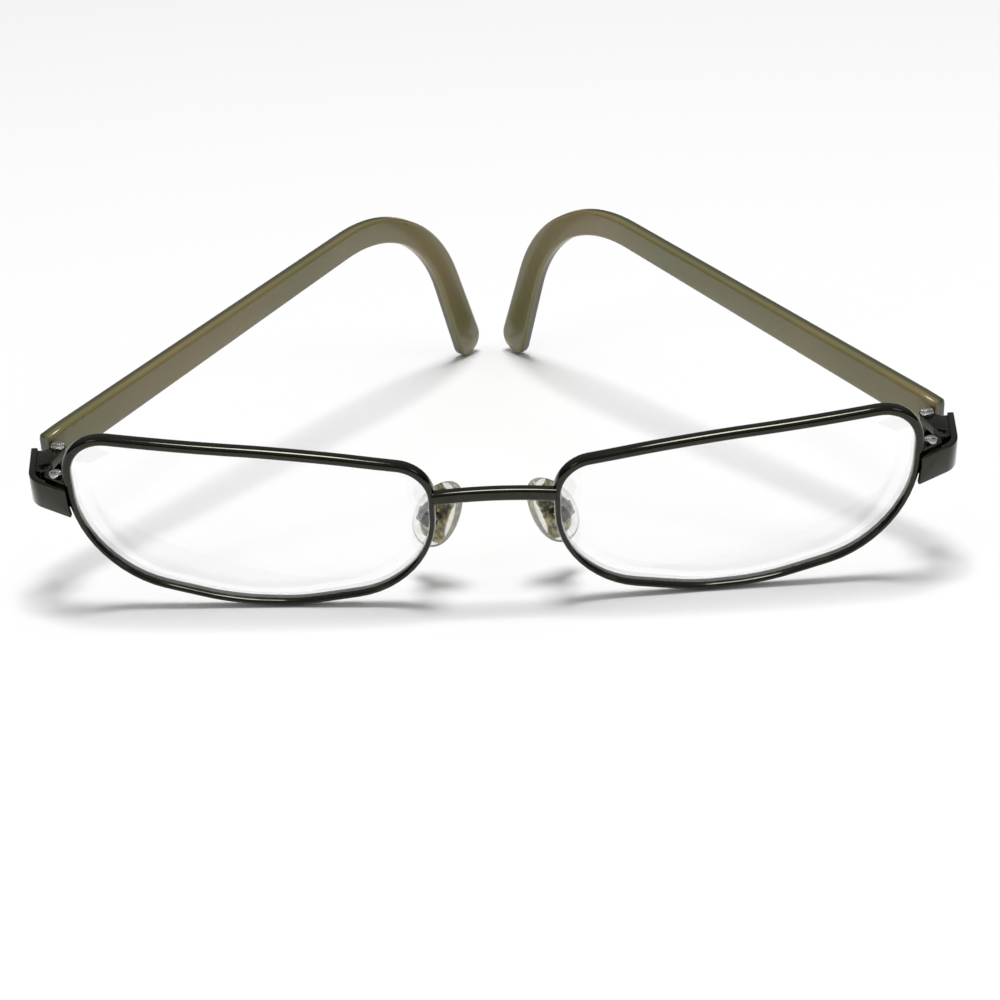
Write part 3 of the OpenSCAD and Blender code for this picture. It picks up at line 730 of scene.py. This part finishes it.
class GLASSES_OT_temples(bpy.types.Operator):
    """Make both temples: olive plastic bars with an ear bend and a rounded tip"""

    bl_idname = "glasses.temples"
    bl_label = "Temples"

    def execute(self, context):
        temple = context.scene.glasses_temple
        place = hinge_place(temple)
        for side, sign in SIDES.items():
            bm = bmesh.new()
            section = round_bar(
                bm, temple.thickness, temple.front_height, temple.rounding, segments=5,
            )
            sweep(bm, section, self.stations(temple))
            self.map_layers(bm, temple)
            finish_piece(bm, "olive_temple_" + side, finish_of("temple"), "temple_" + side,
                         ["temple_" + side], mirror=sign < 0, place=place, sharp=50)
        return {"FINISHED"}

    def map_layers(self, bm, temple):
        """A UV map along the temple and across its thickness, from the inner face outwards."""
        layers = bm.loops.layers.uv.new("layers")
        reach = temple.straight + temple.bend_radius
        for face in bm.faces:
            for loop in face.loops:
                place = loop.vert.co
                loop[layers].uv = (place.y / reach, (place.x - temple.inset) / temple.thickness)

    def stations(self, temple):
        """Places and sizes of the cross-section, from the hinge to the rounded tip."""
        arc = temple.bend_radius * temple.bend
        whole = temple.straight + arc + temple.tail
        marks = []
        for turn in (0, math.pi / 6, math.pi / 3):
            distance = BUTT_SETBACK + temple.rounding * (1 - math.cos(turn))
            marks.append((distance, 1 - temple.rounding / BUTT_HALF * (1 - math.sin(turn))))
        for start, span, steps in (
            (0, temple.straight, STRAIGHT_STEPS),
            (temple.straight, arc, BEND_STEPS),
            (temple.straight + arc, temple.tail, TAIL_STEPS),
        ):
            marks += [(start + span * step / steps, 1) for step in range(1, steps + 1)]
        for step in range(1, TIP_STEPS + 1):
            turn = math.pi / 2 * step / TIP_DIVISIONS
            marks.append((whole + temple.tip_height / 2 * math.sin(turn), math.cos(turn)))
        return [self.station(temple, distance, shrink, arc, whole) for distance, shrink in marks]

    def station(self, temple, distance, shrink, arc, whole):
        """The cross-section at a distance along the temple, shrunk where its ends are rounded."""
        turn = min(max(0, distance - temple.straight), arc) / temple.bend_radius
        past = max(0, distance - temple.straight - arc)
        along = Vector((
            0,
            min(distance, temple.straight)
            + temple.bend_radius * math.sin(turn) + past * math.cos(turn),
            temple.up - temple.bend_radius * (1 - math.cos(turn)) - past * math.sin(turn),
        ))
        waist_at = temple.straight + arc / 2
        if distance < waist_at:
            share = distance / waist_at
            height = temple.front_height + (temple.waist_height - temple.front_height) * share
        else:
            share = min(1, (distance - waist_at) / (whole - waist_at))
            height = temple.waist_height + (temple.tip_height - temple.waist_height) * share
        tapered = temple.straight + temple.bend_radius + temple.tail * TAPER_TAIL
        taper = min(1, along.y / tapered)
        thick = temple.thickness + (temple.tip_thickness - temple.thickness) * taper
        outer = temple.inset + temple.thickness
        thin = shrink if distance < whole else max(shrink, TIP_THINNEST) ** TIP_POWER
        size = (thick * thin / temple.thickness, 1, height * shrink / temple.front_height, 1)
        return (
            Matrix.Translation(along + Vector((outer - thick / 2, 0, 0)))
            @ Matrix.Rotation(-turn, 4, "X")
            @ Matrix.Diagonal(size)
        )


# Stage


class GLASSES_OT_stage(bpy.types.Operator):
    """Make the pale floor, the soft light and the camera"""

    bl_idname = "glasses.stage"
    bl_label = "Stage"

    def execute(self, context):
        stage = context.scene.glasses_stage
        self.floor(stage)
        self.light()
        self.camera(context.scene, stage)
        context.scene.view_settings.view_transform = "Standard"
        return {"FINISHED"}

    def floor(self, stage):
        bm = bmesh.new()
        bmesh.ops.create_grid(bm, x_segments=2, y_segments=2, size=FLOOR_HALF)
        mesh = bpy.data.meshes.new("floor")
        bm.to_mesh(mesh)
        bm.free()
        material, tree, shader = new_material("floor_paint", Roughness=0.9, Specular_IOR_Level=0.0)
        cloud = noise(tree, scale=6, detail=2)
        shade = mixed(tree, cloud, stage.floor, tinted(stage.floor, 0.995))
        tree.links.new(shade, shader.inputs["Base Color"])
        mesh.materials.append(material)
        floor = bpy.data.objects.new("floor", mesh)
        floor.location.z = -FLOOR_DROP
        bpy.context.collection.objects.link(floor)

    def light(self):
        """A sky that is darker at the horizon, and the lamps, all turned to the object."""
        world = bpy.data.worlds.new("studio")
        world.use_nodes = True
        bpy.context.scene.world = world
        tree = world.node_tree
        background = tree.nodes["Background"]
        way = tree.nodes.new("ShaderNodeTexCoord")
        parts = tree.nodes.new("ShaderNodeSeparateXYZ")
        tree.links.new(way.outputs["Generated"], parts.inputs["Vector"])
        rising = between(
            tree, parts.outputs["Z"], low=0, high=1, from_low=0, from_high=SKY_HEIGHT,
        )
        tree.links.new(mixed(tree, rising, HORIZON, SKY), background.inputs["Color"])
        for name, place, size, power in LAMPS:
            lamp = bpy.data.lights.new(name, "AREA")
            lamp.shape = "DISK"
            lamp.size = size
            lamp.energy = power
            holder = bpy.data.objects.new(name, lamp)
            holder.location = place
            holder.rotation_euler = (-Vector(place)).to_track_quat("-Z", "Y").to_euler()
            bpy.context.collection.objects.link(holder)

    def camera(self, scene, stage):
        """The photo's view: a long lens, low over the table and slightly rolled."""
        flat = math.cos(stage.elevation)
        back = Vector((
            math.sin(stage.yaw) * flat, -math.cos(stage.yaw) * flat, math.sin(stage.elevation),
        ))
        right = Vector((0, 0, 1)).cross(back).normalized()
        up = back.cross(right)
        tilt = Matrix.Rotation(stage.roll, 3, back)
        axes = Matrix((tilt @ right, tilt @ up, back)).transposed()
        target = Vector((stage.target_x, stage.target_y, stage.target_z))
        lens = bpy.data.cameras.new("view")
        lens.sensor_fit = "HORIZONTAL"
        lens.sensor_width = SENSOR_WIDTH
        lens.lens = stage.focal
        lens.clip_start = CLIP_START
        camera = bpy.data.objects.new("view", lens)
        camera.matrix_world = Matrix.Translation(target + back * stage.distance) @ axes.to_4x4()
        bpy.context.collection.objects.link(camera)
        scene.camera = camera


class GLASSES_PT_panel(bpy.types.Panel):
    """Lists the sizes, the finishes and the makers"""

    bl_idname = "GLASSES_PT_panel"
    bl_label = "Eyeglasses"
    bl_space_type = "VIEW_3D"
    bl_region_type = "UI"
    bl_category = "Eyeglasses"

    def draw(self, context):
        for attribute, group in GROUPS.items():
            box = self.layout.box()
            for name in group.__annotations__:
                box.prop(getattr(context.scene, attribute), name)
        for operator in OPERATORS:
            self.layout.operator(operator.bl_idname)


OPERATORS = (
    GLASSES_OT_rims,
    GLASSES_OT_lenses,
    GLASSES_OT_bridge,
    GLASSES_OT_metalwork,
    GLASSES_OT_pads,
    GLASSES_OT_temples,
    GLASSES_OT_stage,
)
CLASSES = (*GROUPS.values(), *OPERATORS, GLASSES_PT_panel)


def register():
    for item in CLASSES:
        bpy.utils.register_class(item)
    for attribute, group in GROUPS.items():
        setattr(bpy.types.Scene, attribute, PointerProperty(type=group))


def unregister():
    for attribute in GROUPS:
        delattr(bpy.types.Scene, attribute)
    for item in reversed(CLASSES):
        bpy.utils.unregister_class(item)


def main():
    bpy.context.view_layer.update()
    register()
    bpy.ops.glasses.rims()
    bpy.ops.glasses.lenses()
    bpy.ops.glasses.bridge()
    bpy.ops.glasses.metalwork()
    bpy.ops.glasses.pads()
    bpy.ops.glasses.temples()
    bpy.ops.glasses.stage()


if __name__ == "__main__":
    main()
